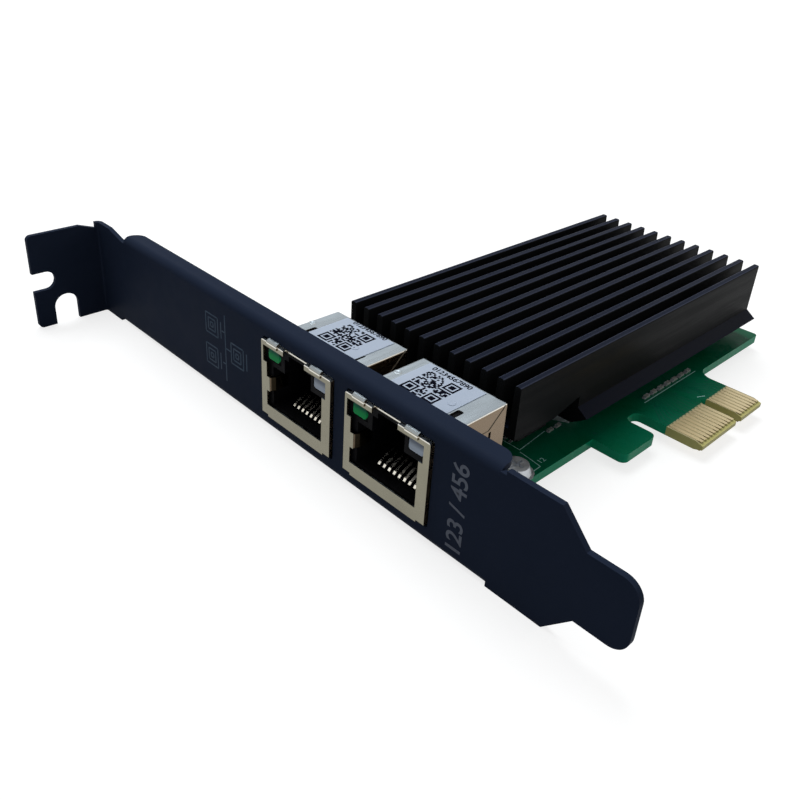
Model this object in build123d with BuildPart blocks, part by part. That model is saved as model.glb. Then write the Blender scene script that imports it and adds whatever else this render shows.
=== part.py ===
"""Frame grabber card with two network jacks, a folded bracket and a finned heat sink."""
import os

from build123d import *

os.makedirs("parts", exist_ok=True)

# Placement: lengths below are read from the bracket's lower front corner at the tongue tip,
# x behind the bracket, y up its length, z towards the component side.
# The origin of the parts is the key notch centre, at the finger edge, in the board's mid-plane.
key_x = 59.05
finger_y = 15.5
board_t = 1.57
board_bottom = 1.53
board_top = board_bottom + board_t
datum = (-key_x, -finger_y, -(board_bottom + board_t / 2))
plan = Plane(origin=datum, x_dir=(1, 0, 0), z_dir=(0, 0, 1))
front = Plane(origin=datum, x_dir=(0, 1, 0), z_dir=(1, 0, 0))
flank = Plane(origin=datum, x_dir=(1, 0, 0), z_dir=(0, -1, 0))

# Bracket sheet
sheet = 0.86
bend_in = 0.44
bend_out = bend_in + sheet
bracket_w = 18.42
bracket_l = 120.02
tongue_w = 10.19
tongue_l = 7.1
taper_l = 3.9
tongue_r = 2.6
flange_y0 = 19.8
flange_y1 = bracket_l - 10.62
low_flange_y1 = flange_y1 + 2.9
flange_depth = 3.5
flange_end_r = 2.2
relief_w = 0.9
relief_d = 0.55
notch_l = 5.6
notch_d = 1.15
tab_reach = 13.6
tab_corner = 1.8
slot_w = 3.6
slot_mid_z = 9.21
slot_len = 4.2
gap_w = 4.6
gap_mid_x = 7.9
gap_top_z = 5.7
bend_cut_x = 3.6
bend_cut_d = 1.1

# Jacks
jack_mid = (58.0, 38.57)
shield_t = 0.25
jack_w = 16.3
jack_front = -0.5
jack_back = 14.8
jack_z0 = board_top
jack_z1 = bracket_w - 2.32
jack_h = jack_z1 - jack_z0
window_gap = 0.25
window_z0 = 2.5
open_z0 = 4.9
step_z = jack_z1 - 3.65
open_z1 = jack_z1 - 0.9
open_left = jack_w / 2 - 1.3
open_right = jack_w / 2 - 1.85
step_left = jack_w / 2 - 0.45
step_right = jack_w / 2 - 1.1
spring_y = jack_w / 2 - 2.4
bridge_left = 2.75
bridge_right = 2.25
slot_off = jack_w / 2 - 2.7
seam_z = jack_z1 - 3.03
leg_x = 8.6
leg_w = 1.3

# Housing, contacts and lenses inside each jack
fit_gap = 0.05
house_front = 0.1
plug_w = 11.9
plug_z0 = 5.1
plug_z1 = jack_z1 - 4.2
latch_w = 6.2
latch_z1 = jack_z1 - 1.7
catch_w = 4.2
catch_z1 = jack_z1 - 0.8
plug_depth = 11.6
lens_w = 3.1
lens_h = 2.3
lens_z = jack_z1 - 2.15
lens_front = -0.05
lens_back = 5.2
lens_left = jack_w / 2 - 2.6
lens_right = jack_w / 2 - 2.8
pin_pitch = 1.016
pin_w = 0.42
pin_t = 0.3
pin_count = 8
pin_end_z = 9.2
house_slot_z = 4.3

# Circuit board outline
board_x0 = 1.25
board_x1 = 91.5
board_y0 = 27.6
board_y1 = 71.0
hook_x0 = 34.4
hook_x1 = 43.4
hook_y = 21.7
finger_near = 12.2
finger_far = 8.2
key_w = 1.9
key_end = 22.4
root_r = 2.8
bevel_y = 1.4
bevel_z = 0.42
pad_w = 0.7
pad_t = 0.05
pad_y0 = 16.0
pad_y1 = 21.7

# Heat sink
sink_x0 = 17.0
sink_x1 = 89.3
sink_y0 = 30.2
sink_y1 = 65.5
sink_z0 = 5.2
sink_z1 = 17.6
floor_z = 10.4
fin_count = 12
fin_top = 1.1
fin_root = 1.5
rail_out = 1.9
rail_top = 8.4
rail_mid = 7.05
rail_in = 0.8
step_x = 32.6
step_top = 8.9
bite_x = 26.0
bite_top = 10.35

# Screws, one size for the bracket and for the heat sink
screw_r = 1.2
screw_gap = 0.05
head_r = 2.3
head_h = 1.35
head_slope = 17
bracket_screw_x = 18.4
bracket_screw_y = (30.1, 68.6)
sink_screw_x = (36.5, 84.5)
sink_screw_y = (35.2, 60.6)
spacer_r = 2.4

# Hidden parts under the heat sink
chip_x, chip_y = 56.0, 48.0
chip_w = 17.0
chip_h = 1.4
mag_x0, mag_x1 = 24.4, 31.5
mag_l = 13.8
mag_mid = (41.5, 56.6)
mag_top = 8.4
lead_count = 12

# Small parts: the line behind the heat sink, the row at the finger root, and single places
line_y = sink_y1 + 2.9
line_x = 30.0
line_step = 3.0
root_row_x = key_x - 6.75
root_row_y = board_y0 + 1.45
root_row_step = 2.3
flash_x = 54.85
crystal_x = 63.5
inductor_x = (71.5, 78.5)
regulator_at = ((44.0, 53.0), (76.0, 48.0))
label_back = 14.2


def block(x0, x1, y0, y1, z0, z1):
    """Box between datum coordinates, added in the current part."""
    with Locations(((x0 + x1) / 2 + datum[0], (y0 + y1) / 2 + datum[1], z0 + datum[2])):
        Box(x1 - x0, y1 - y0, z1 - z0, align=(Align.CENTER, Align.CENTER, Align.MIN))


# Bracket: a flat tongue and shoulder, a folded middle, a bent screw tab and two board ears
shoulder_z = (bracket_w - tongue_w) / 2
with BuildPart() as bracket:
    # folded middle, a channel with rounded bends
    with BuildSketch(flank.offset(-low_flange_y1)):
        with BuildLine():
            Polyline((flange_depth, 0), (0, 0), (0, bracket_w), (flange_depth, bracket_w),
                     (flange_depth, bracket_w - sheet), (sheet, bracket_w - sheet), (sheet, sheet),
                     (flange_depth, sheet), close=True)
        make_face()
    extrude(amount=low_flange_y1 - flange_y0)
    outer = bracket.edges().filter_by(Axis.Y).sort_by(Axis.X)[:2]
    fillet(outer, bend_out)
    inner = bracket.edges().filter_by(Axis.Y).filter_by(
        lambda e: abs(e.center().X + key_x - sheet) < 0.01)
    fillet(inner, bend_in)
    # the upper fold ends sooner than the lower one, and the sheet goes on flat
    with BuildSketch(plan.offset(bracket_w / 2)):
        with Locations(((sheet + flange_depth + 1) / 2, (flange_y1 + low_flange_y1 + 1) / 2)):
            Rectangle(flange_depth + 1 - sheet, low_flange_y1 + 1 - flange_y1)
    extrude(amount=bracket_w, mode=Mode.SUBTRACT)
    block(0, sheet, flange_y1, low_flange_y1, bracket_w - 2, bracket_w)
    tips = bracket.edges().filter_by(Axis.Z).filter_by(
        lambda e: abs(e.center().X + key_x - flange_depth) < 0.01)
    fillet(tips, flange_end_r)
    # tongue and shoulder below the folded middle
    with BuildSketch(front):
        with BuildLine():
            Polyline((flange_y0, 0), (tongue_l + taper_l, 0), (tongue_l, shoulder_z),
                     (0, shoulder_z), (0, bracket_w - shoulder_z),
                     (tongue_l, bracket_w - shoulder_z), (tongue_l + taper_l, bracket_w),
                     (flange_y0, bracket_w), close=True)
        make_face()
    extrude(amount=sheet)
    tongue_tips = bracket.edges().filter_by(Axis.X).sort_by(Axis.Y)[:2]
    fillet(tongue_tips, tongue_r)
    # upper shoulder and screw tab, one bend towards the front
    with BuildSketch(plan):
        with BuildLine():
            Polyline((0, low_flange_y1), (sheet, low_flange_y1), (sheet, bracket_l), (-tab_reach, bracket_l),
                     (-tab_reach, bracket_l - sheet), (0, bracket_l - sheet), close=True)
        make_face()
    extrude(amount=bracket_w)
    bend_outer = bracket.edges().filter_by(Axis.Z).filter_by(
        lambda e: abs(e.center().X + key_x - sheet) < 0.01 and e.center().Y + finger_y > bracket_l - 0.5)
    fillet(bend_outer, bend_out)
    bend_inner = bracket.edges().filter_by(Axis.Z).filter_by(
        lambda e: abs(e.center().X + key_x) < 0.01 and e.center().Y + finger_y > bracket_l - 1.0)
    fillet(bend_inner, bend_in)
    corners = bracket.edges().filter_by(Axis.Y).filter_by(
        lambda e: abs(e.center().X + key_x + tab_reach) < 0.01)
    fillet(corners, tab_corner / 2)
    # screw slot and round gap in the tab
    with BuildSketch(flank.offset(-bracket_l - 1)):
        with Locations((-tab_reach, slot_mid_z)):
            SlotOverall(2 * slot_len, slot_w)
        with Locations((-gap_mid_x, gap_top_z - gap_w)):
            SlotOverall(2 * gap_w, gap_w, rotation=90)
    extrude(amount=4, mode=Mode.SUBTRACT)
    # relief cuts: a sloping notch past the upper fold, small ones at the other fold ends, one by the tab's bend
    with BuildSketch(front.offset(-1)):
        with BuildLine():
            Polyline((flange_y1, bracket_w + 1), (flange_y1, bracket_w - notch_d),
                     (flange_y1 + relief_w, bracket_w - notch_d), (flange_y1 + notch_l, bracket_w),
                     (flange_y1 + notch_l, bracket_w + 1), close=True)
        make_face()
        with Locations((low_flange_y1 + relief_w / 2, 0)):
            Rectangle(relief_w, 2 * relief_d)
    extrude(amount=3, mode=Mode.SUBTRACT)
    with BuildSketch(flank.offset(-bracket_l - 1)):
        with BuildLine():
            Polyline((-bend_cut_x, bracket_w), (-bend_in, bracket_w - bend_cut_d),
                     (-bend_in, bracket_w + 1), (-bend_cut_x, bracket_w + 1), close=True)
        make_face()
    extrude(amount=4, mode=Mode.SUBTRACT)
    with BuildSketch(front.offset(-1)):
        with Locations((flange_y0 - relief_w / 2, bracket_w)):
            Rectangle(relief_w, 2 * relief_d)
    extrude(amount=3, mode=Mode.SUBTRACT)
    # jack windows
    with BuildSketch(front.offset(-1)):
        for mid in jack_mid:
            with Locations((mid, (window_z0 + jack_z1 + window_gap) / 2)):
                RectangleRounded(jack_w + 2 * window_gap, jack_z1 + window_gap - window_z0, 0.4)
    extrude(amount=3, mode=Mode.SUBTRACT)
    # ears under the board, each with an offset pad for its screw
    for screw_y, arm_y in ((bracket_screw_y[0], 28.75), (bracket_screw_y[1], 69.6)):
        block(sheet, bracket_screw_x, arm_y - 0.95, arm_y + 0.95, board_bottom - sheet, board_bottom)
        with BuildSketch(plan.offset(board_bottom - sheet)):
            with Locations((bracket_screw_x, screw_y)):
                Circle(2.3)
        extrude(amount=sheet)
    with BuildSketch(plan):
        for screw_y in bracket_screw_y:
            with Locations((bracket_screw_x, screw_y)):
                Circle(screw_r + screw_gap)
    extrude(amount=board_bottom, mode=Mode.SUBTRACT)

# Circuit board with hook, finger tongue, key notch and holes
with BuildPart() as board:
    with BuildSketch(plan.offset(board_bottom)):
        with BuildLine():
            Polyline((board_x0, board_y0), (hook_x0, board_y0), (hook_x0, hook_y),
                     (hook_x1, hook_y), (hook_x1, board_y0), (key_x - finger_near, board_y0),
                     (key_x - finger_near, finger_y), (key_x + finger_far, finger_y),
                     (key_x + finger_far, board_y0), (board_x1, board_y0),
                     (board_x1, board_y1), (board_x0, board_y1), close=True)
        make_face()
        with Locations((key_x, (finger_y - 2 + key_end) / 2)):
            SlotOverall(key_end - finger_y + 2, key_w, rotation=90, mode=Mode.SUBTRACT)
        for screw_y in bracket_screw_y:
            with Locations((bracket_screw_x, screw_y)):
                Circle(screw_r + 3 * screw_gap, mode=Mode.SUBTRACT)
        for screw_x in sink_screw_x:
            for screw_y in sink_screw_y:
                with Locations((screw_x, screw_y)):
                    Circle(screw_r + 3 * screw_gap, mode=Mode.SUBTRACT)
        for mid in jack_mid:
            for side in (-1, 1):
                with Locations((leg_x, mid + side * (jack_w - shield_t) / 2)):
                    Rectangle(leg_w + 0.3, 0.7, mode=Mode.SUBTRACT)
    extrude(amount=board_t)
    upright = board.edges().filter_by(Axis.Z)


    def corner(x, y):
        """Upright board edge nearest to a datum position."""
        return upright.sort_by(lambda e: (e.center().X + key_x - x) ** 2 + (e.center().Y + finger_y - y) ** 2)[0]


    root = corner(key_x + finger_far, board_y0)
    slot_ends = [corner(hook_x1, board_y0), corner(key_x - finger_near, board_y0)]
    hook_tips = [corner(hook_x0, hook_y), corner(hook_x1, hook_y)]
    ends = [corner(board_x1, board_y0), corner(board_x1, board_y1)]
    fillet(root, root_r)
    fillet(slot_ends, 1.2)
    fillet(hook_tips, 1.2)
    fillet(ends, 0.8)
    # bevels on both faces of the finger edge
    with BuildSketch(front.offset(hook_x1 + 1)):
        for face_z, inward in ((board_bottom, 1), (board_top, -1)):
            with BuildLine():
                Polyline((finger_y - 0.2, face_z - inward), (finger_y - 0.2, face_z + inward * bevel_z),
                         (finger_y, face_z + inward * bevel_z), (finger_y + bevel_y, face_z),
                         (finger_y + bevel_y, face_z - inward), close=True)
            make_face()
    extrude(amount=30, mode=Mode.SUBTRACT)


def finger_row(z0):
    """Row of gold pads on one face of the finger tongue: eleven, the key notch, then seven."""
    with BuildPart() as row:
        with BuildSketch(plan.offset(z0)):
            with Locations((key_x - 6.5, (pad_y0 + pad_y1) / 2)):
                with GridLocations(1.0, 1.0, 11, 1):
                    Rectangle(pad_w, pad_y1 - pad_y0)
            with Locations((key_x + 4.5, (pad_y0 + pad_y1) / 2)):
                with GridLocations(1.0, 1.0, 7, 1):
                    Rectangle(pad_w, pad_y1 - pad_y0)
        extrude(amount=pad_t)
    return row.part


# Heat sink: one extrusion with a pointed rail on each side, then milled clear at the jack end
pitch = (sink_y1 - sink_y0 - fin_top) / (fin_count - 1)
spread = (fin_root - fin_top) / 2
with BuildPart() as sink:
    with BuildSketch(front.offset(sink_x0)):
        with BuildLine():
            points = [(sink_y0 + rail_in, sink_z0), (sink_y0 - rail_out, rail_mid), (sink_y0, rail_top)]
            for number in range(fin_count):
                left = sink_y0 + number * pitch
                if number:
                    points.append((left - spread, floor_z))
                points.append((left, sink_z1))
                points.append((left + fin_top, sink_z1))
                if number < fin_count - 1:
                    points.append((left + fin_top + spread, floor_z))
            points += [(sink_y1, rail_top), (sink_y1 + rail_out, rail_mid), (sink_y1 - rail_in, sink_z0)]
            Polyline(*points, close=True)
        make_face()
    extrude(amount=sink_x1 - sink_x0)
    crests = sink.edges().filter_by(Axis.X).group_by(Axis.Z)[-1]
    fillet(crests, 0.28)
    with BuildSketch(flank.offset(-sink_y1 - 3)):
        with Locations(((sink_x0 - 1 + step_x) / 2, (sink_z0 - 2 + step_top) / 2)):
            Rectangle(step_x - sink_x0 + 1, step_top - sink_z0 + 2)
    extrude(amount=sink_y1 - sink_y0 + 6, mode=Mode.SUBTRACT)
    with BuildSketch(flank.offset(-sink_y0 - 1.4)):
        with BuildLine():
            Polyline((bite_x, step_top - 0.1), (step_x, step_top - 0.1), (step_x, bite_top), close=True)
        make_face()
    extrude(amount=3, mode=Mode.SUBTRACT)
    with BuildSketch(plan.offset(sink_z0)):
        for screw_x in sink_screw_x:
            for screw_y in sink_screw_y:
                with Locations((screw_x, screw_y)):
                    Circle(screw_r + screw_gap)
    extrude(amount=4.4, mode=Mode.SUBTRACT)

with BuildPart() as spacers:
    with BuildSketch(plan.offset(board_top)):
        for screw_x in sink_screw_x:
            for screw_y in sink_screw_y:
                with Locations((screw_x, screw_y)):
                    RegularPolygon(spacer_r, 6, major_radius=False)
                    Circle(screw_r + screw_gap, mode=Mode.SUBTRACT)
    extrude(amount=sink_z0 - board_top)


def pan_screws(places, seat_z, shank, up):
    """Pan head screws with a cross recess, seated at one height; up is the head's direction."""
    with BuildPart() as screws:
        for x, y in places:
            axis = Plane(origin=(x + datum[0], y + datum[1], seat_z + datum[2]), z_dir=(0, 0, up))
            with BuildSketch(axis):
                Circle(head_r)
            extrude(amount=head_h, taper=head_slope)
            with BuildSketch(axis):
                Circle(screw_r)
            extrude(amount=-shank)
            with BuildSketch(axis.offset(head_h - 0.7)):
                Rectangle(2.4, 0.5)
                Rectangle(0.5, 2.4)
            extrude(amount=1, mode=Mode.SUBTRACT)
    return screws.part


bracket_screws = pan_screws([(bracket_screw_x, y) for y in bracket_screw_y], board_top,
                            board_top - board_bottom + sheet, 1)
sink_screws = pan_screws([(x, y) for x in sink_screw_x for y in sink_screw_y], board_bottom,
                         sink_z0 - board_bottom + 4.2, -1)


def jack_shield(mid):
    """Folded jack shield: five thin walls, a stepped front opening, spring tabs, seams and legs."""
    low, high = mid - jack_w / 2, mid + jack_w / 2
    with BuildPart() as shell:
        block(jack_front, jack_back, low, high, jack_z0, jack_z1)
        rims = shell.edges().filter_by(Axis.X).group_by(Axis.Z)[-1] + shell.edges().filter_by(
            Axis.Z).group_by(Axis.X)[-1] + shell.edges().filter_by(Axis.Y).group_by(Axis.Z)[-1].sort_by(Axis.X)[-1:]
        fillet(rims, 0.4)
        # front strip hangs a little below the walls, between the two legs of the frame
        with BuildSketch(front.offset(jack_front)):
            with Locations((mid, jack_z0)):
                Rectangle(jack_w - 3.0, 0.7)
        extrude(amount=shield_t)
        # hollow, open towards the board
        with BuildSketch(plan.offset(jack_z0 - 1)):
            with Locations(((jack_front + jack_back) / 2, mid)):
                Rectangle(jack_back - jack_front - 2 * shield_t, jack_w - 2 * shield_t)
        extrude(amount=jack_h + 1 - shield_t, mode=Mode.SUBTRACT)
        # stepped opening of the frame, open at the top between the two bridges
        with BuildSketch(front.offset(jack_front - 0.5)):
            with BuildLine():
                Polyline((mid + open_left, open_z0), (mid + open_left, step_z), (mid + step_left, step_z),
                         (mid + step_left, open_z1), (mid + bridge_left, open_z1),
                         (mid + bridge_left, jack_z1 + 1), (mid - bridge_right, jack_z1 + 1),
                         (mid - bridge_right, open_z1), (mid - step_right, open_z1),
                         (mid - step_right, step_z), (mid - open_right, step_z),
                         (mid - open_right, open_z0), close=True)
            make_face()
        extrude(amount=0.5 + shield_t + 0.3, mode=Mode.SUBTRACT)
        # top slots beside the springs
        with BuildSketch(plan.offset(jack_z1 - 0.6)):
            for side in (-1, 1):
                with Locations((5.4, mid + side * slot_off)):
                    RectangleRounded(5.6, 1.05, 0.3)
        extrude(amount=1, mode=Mode.SUBTRACT)
        # seam and slot on the side that faces the fingers
        with BuildSketch(flank.offset(-low - 0.12)):
            with BuildLine():
                Polyline((8.0, seam_z + 0.2), (10.9, seam_z + 0.2), (14.1, jack_z1), (14.5, jack_z1),
                         (11.1, seam_z), (8.0, seam_z), close=True)
            make_face()
        extrude(amount=1, mode=Mode.SUBTRACT)
        with BuildSketch(flank.offset(-low - 0.3)):
            with Locations((11.35, 11.2)):
                Rectangle(0.5, 3.2)
        extrude(amount=1, mode=Mode.SUBTRACT)
        # folded spring tabs over the top corners of the frame
        for place in (mid + jack_w / 2 - 2.8, mid - jack_w / 2 + 3.35):
            with BuildSketch(flank.offset(-place - 1.2)):
                with BuildLine():
                    Polyline((jack_front + 0.02, jack_z1 - 0.6), (jack_front - 0.2, jack_z1 - 0.5),
                             (jack_front - 0.2, jack_z1 + 0.15), (jack_front + 0.1, jack_z1 + 0.45),
                             (jack_front + shield_t + 0.15, jack_z1 + 0.5),
                             (jack_front + shield_t + 0.15, jack_z1 - 0.1), (jack_front + 0.02, jack_z1 - 0.1),
                             close=True)
                make_face()
            extrude(amount=2.4)
        # inward tab and curved side spring on the left of the opening
        with BuildSketch(front.offset(jack_front)):
            with Locations((mid + open_left - 0.3, 8.75)):
                Rectangle(0.8, 2.5)
        extrude(amount=shield_t)
        with BuildSketch(plan.offset(7.6)):
            with BuildLine():
                Polyline((jack_front, mid + spring_y + 0.45), (jack_front + 0.9, mid + spring_y),
                         (1.6, mid + spring_y), (2.9, mid + spring_y + 0.4), (2.9, mid + spring_y + 0.6),
                         (1.6, mid + spring_y + 0.2), (0.5, mid + spring_y + 0.2),
                         (jack_front + 0.2, mid + spring_y + 0.7), close=True)
            make_face()
        extrude(amount=2.3)
        # legs through the board
        for side in (-1, 1):
            wall = mid + side * (jack_w - shield_t) / 2
            block(leg_x - leg_w / 2, leg_x + leg_w / 2, wall - shield_t / 2, wall + shield_t / 2,
                  board_bottom - 0.55, jack_z0 + 0.5)
    return shell.part


def jack_housing(mid):
    """Black insulating body with the plug cavity, latch channel, lens pockets and contact slots."""
    half = jack_w / 2 - shield_t - fit_gap
    top = jack_z1 - shield_t - fit_gap
    with BuildPart() as body:
        block(house_front, jack_back - shield_t - fit_gap, mid - half, mid + half, jack_z0, top)
        with BuildSketch(front.offset(house_front - 1)):
            with Locations((mid, (plug_z0 + plug_z1) / 2)):
                Rectangle(plug_w, plug_z1 - plug_z0)
            with Locations((mid, (plug_z1 + latch_z1) / 2 - 0.1)):
                Rectangle(latch_w, latch_z1 - plug_z1 + 0.2)
            with Locations((mid, (latch_z1 + catch_z1) / 2 - 0.1)):
                Rectangle(catch_w, catch_z1 - latch_z1 + 0.2)
        extrude(amount=1 + plug_depth, mode=Mode.SUBTRACT)
        with BuildSketch(front.offset(house_front - 1)):
            for place in (mid + lens_left, mid - lens_right):
                with Locations((place, lens_z)):
                    Rectangle(lens_w + 2 * fit_gap, lens_h + 2 * fit_gap)
        extrude(amount=lens_back - house_front + 1 + fit_gap, mode=Mode.SUBTRACT)
        # pocket for the side spring
        block_y0 = mid + plug_w / 2 - 0.3
        with BuildSketch(front.offset(house_front - 1)):
            with Locations(((block_y0 + mid + half) / 2 + 0.1, 8.75)):
                Rectangle(mid + half - block_y0 + 0.4, 2.7)
        extrude(amount=4.2, mode=Mode.SUBTRACT)
        # slots that the contacts lie in
        with BuildSketch(plan.offset(house_slot_z)):
            with Locations((4.85, mid)):
                with GridLocations(1, pin_pitch, 1, pin_count):
                    Rectangle(6.0, pin_w + 2 * fit_gap)
        extrude(amount=1, mode=Mode.SUBTRACT)
    return body.part


def jack_contacts(mid):
    """Eight spring contacts: a leg in the floor, a tight bend near the mouth and a sloping blade."""
    leg_z = house_slot_z + fit_gap + pin_t / 2
    with BuildPart() as pins:
        for number in range(pin_count):
            side = mid + (number - (pin_count - 1) / 2) * pin_pitch
            with BuildSketch(flank.offset(-side - pin_w / 2)):
                with BuildLine():
                    Polyline((7.6, leg_z), (2.62, leg_z), (2.36, leg_z + 0.2), (2.34, leg_z + 0.55),
                             (2.6, leg_z + 0.85), (10.2, pin_end_z))
                trace(line_width=pin_t)
            extrude(amount=pin_w)
    return pins.part


def jack_lens(place):
    """Light pipe with a bevelled nose in a top corner of the jack."""
    with BuildPart() as lens:
        with BuildSketch(front.offset(lens_front)):
            with Locations((place, lens_z)):
                Rectangle(lens_w, lens_h)
        extrude(amount=lens_back - lens_front)
        nose = lens.edges().group_by(Axis.X)[0]
        chamfer(nose, 0.25)
    return lens.part


def jack_label(mid, shift, back):
    """Thin paper label on the flat top of a shield."""
    with BuildPart() as label:
        with BuildSketch(plan.offset(jack_z1)):
            with Locations((back - 5.4, mid + shift)):
                Rectangle(10.8, 10.8)
        extrude(amount=0.08)
    return label.part


# Thermal pad and controller chip between the board and the heat sink
with BuildPart() as chip:
    block(chip_x - chip_w / 2, chip_x + chip_w / 2, chip_y - chip_w / 2, chip_y + chip_w / 2,
          board_top, board_top + 0.5)
    block(chip_x - chip_w / 2 + 0.6, chip_x + chip_w / 2 - 0.6, chip_y - chip_w / 2 + 0.6,
          chip_y + chip_w / 2 - 0.6, board_top + 0.5, board_top + chip_h)

with BuildPart() as thermal_pad:
    block(chip_x - 7.5, chip_x + 7.5, chip_y - 7.5, chip_y + 7.5, board_top + chip_h, sink_z0)

# Line transformers behind the jacks, with flat leads on both long sides
with BuildPart() as magnetics:
    for mid in mag_mid:
        block(mag_x0, mag_x1, mid - mag_l / 2, mid + mag_l / 2, board_top + 0.1, mag_top)
    tops = magnetics.edges().group_by(Axis.Z)[-1]
    chamfer(tops, 0.25)

with BuildPart() as magnetics_leads:
    with BuildSketch(plan.offset(board_top)):
        for mid in mag_mid:
            for lead_x in (mag_x0 - 0.35, mag_x1 + 0.35):
                with Locations((lead_x, mid)):
                    with GridLocations(1, 1.1, 1, lead_count):
                        Rectangle(1.3, 0.45)
    extrude(amount=0.1)

# Small parts: two beside the heat sink step, a row at the finger root and some beside the sink
with BuildPart() as chip_capacitors:
    for x, y in ((31.0, 33.35), (33.0, 33.35)):
        block(x - 0.5, x + 0.5, y - 0.25, y + 0.25, board_top, board_top + 0.4)
    for number in range(7):
        x = root_row_x + number * root_row_step
        block(x - 0.6, x + 0.6, root_row_y - 0.3, root_row_y + 0.3, board_top, board_top + 0.45)
    for number in range(6):
        x = line_x + number * line_step
        block(x - 1.0, x + 1.0, line_y, line_y + 1.25, board_top, board_top + 1.1)
    for x, y in ((44.5, 41.0), (44.5, 43.5), (68.5, 43.0), (68.5, 46.0), (68.5, 49.0), (68.5, 52.0)):
        block(x - 0.8, x + 0.8, y - 0.4, y + 0.4, board_top, board_top + 0.8)

with BuildPart() as flash_chip:
    block(flash_x - 2.45, flash_x + 2.45, line_y - 1.7, line_y + 1.8, board_top + 0.12, board_top + 1.5)
    chamfer(flash_chip.edges().group_by(Axis.Z)[-1], 0.2)

with BuildPart() as crystal_can:
    with BuildSketch(plan.offset(board_top)):
        with Locations((crystal_x, line_y)):
            RectangleRounded(5.0, 3.2, 0.5)
    extrude(amount=1.1)

with BuildPart() as power_inductors:
    for x in inductor_x:
        with BuildSketch(plan.offset(board_top)):
            with Locations((x, line_y)):
                RectangleRounded(4.4, 4.2, 0.6)
        extrude(amount=1.9)

with BuildPart() as regulator_chips:
    for x, y in regulator_at:
        block(x - 2.0, x + 2.0, y - 2.0, y + 2.0, board_top, board_top + 0.9)

# Solder cones on the back of the board, under the contacts and round the shield legs
with BuildPart() as solder_joints:
    for mid in jack_mid:
        for number in range(pin_count):
            spot = (10.4 + 2.54 * (number % 2), mid + (number - 3.5) * 1.27)
            with BuildSketch(plan.offset(board_bottom)):
                with Locations(spot):
                    RegularPolygon(0.62, 6)
            with BuildSketch(plan.offset(board_bottom - 0.55)):
                with Locations(spot):
                    RegularPolygon(0.34, 6)
            loft()

named = {
    "bracket": bracket.part,
    "bracket_screws": bracket_screws,
    "circuit_board": board.part,
    "finger_pads_top": finger_row(board_top),
    "finger_pads_back": finger_row(board_bottom - pad_t),
    "heat_sink": sink.part,
    "heat_sink_spacers": spacers.part,
    "heat_sink_screws": sink_screws,
    "thermal_pad": thermal_pad.part,
    "controller_chip": chip.part,
    "line_transformers": magnetics.part,
    "transformer_leads": magnetics_leads.part,
    "chip_capacitors": chip_capacitors.part,
    "flash_chip": flash_chip.part,
    "crystal_can": crystal_can.part,
    "power_inductors": power_inductors.part,
    "regulator_chips": regulator_chips.part,
    "solder_joints": solder_joints.part,
}
for order, mid in enumerate(jack_mid, start=1):
    named[f"jack_{order}_shield"] = jack_shield(mid)
    named[f"jack_{order}_housing"] = jack_housing(mid)
    named[f"jack_{order}_contacts"] = jack_contacts(mid)
    named[f"jack_{order}_green_lens"] = jack_lens(mid + lens_left)
    named[f"jack_{order}_clear_lens"] = jack_lens(mid - lens_right)
named["jack_1_label"] = jack_label(jack_mid[0], -0.25, label_back)
named["jack_2_label"] = jack_label(jack_mid[1], 0.75, label_back)

for node, shape in named.items():
    shape.label = node
    export_step(shape, f"parts/{node}.step")
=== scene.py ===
"""Looks of the frame grabber card: its finishes, printed marks, small parts, light and camera."""
import logging
from dataclasses import dataclass, field
from enum import Enum
from functools import cache
from typing import Protocol

import bpy
import numpy as np
from mathutils import Matrix


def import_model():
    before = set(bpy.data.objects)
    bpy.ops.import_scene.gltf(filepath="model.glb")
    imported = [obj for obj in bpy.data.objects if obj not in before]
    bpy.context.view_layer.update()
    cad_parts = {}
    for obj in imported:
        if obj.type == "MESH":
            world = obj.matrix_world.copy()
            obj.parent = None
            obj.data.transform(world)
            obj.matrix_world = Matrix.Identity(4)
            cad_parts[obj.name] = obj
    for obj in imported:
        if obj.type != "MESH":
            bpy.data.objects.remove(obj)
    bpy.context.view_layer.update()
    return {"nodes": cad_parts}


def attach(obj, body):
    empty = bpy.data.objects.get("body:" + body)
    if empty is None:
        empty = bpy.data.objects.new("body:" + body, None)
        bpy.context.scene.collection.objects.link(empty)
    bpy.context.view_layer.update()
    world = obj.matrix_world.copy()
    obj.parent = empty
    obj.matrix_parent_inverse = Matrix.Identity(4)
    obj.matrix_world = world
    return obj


LOG = logging.getLogger("card")
Colour = tuple[float, float, float]
Pair = tuple[float, float]
Triple = tuple[float, float, float]
Segment = tuple[float, float, float, float]
Shape = tuple[np.ndarray, list[list[int]]]
Socket = bpy.types.NodeSocket

# Places here are datum millimetres, counted from the bracket's lower front corner at the tongue tip.
# DATUM is the row frame's origin in them: the middle of the key notch, in the board's mid-plane.
DATUM = np.array([59.05, 15.5, 2.315])
KEY_X = 59.05
IN_METRE = 1000
X, Y, Z = 0, 1, 2


def metres(value: float, axis: int) -> float:
    """A place in datum millimetres as row-frame metres along one axis."""
    return float(value - DATUM[axis]) / IN_METRE


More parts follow.
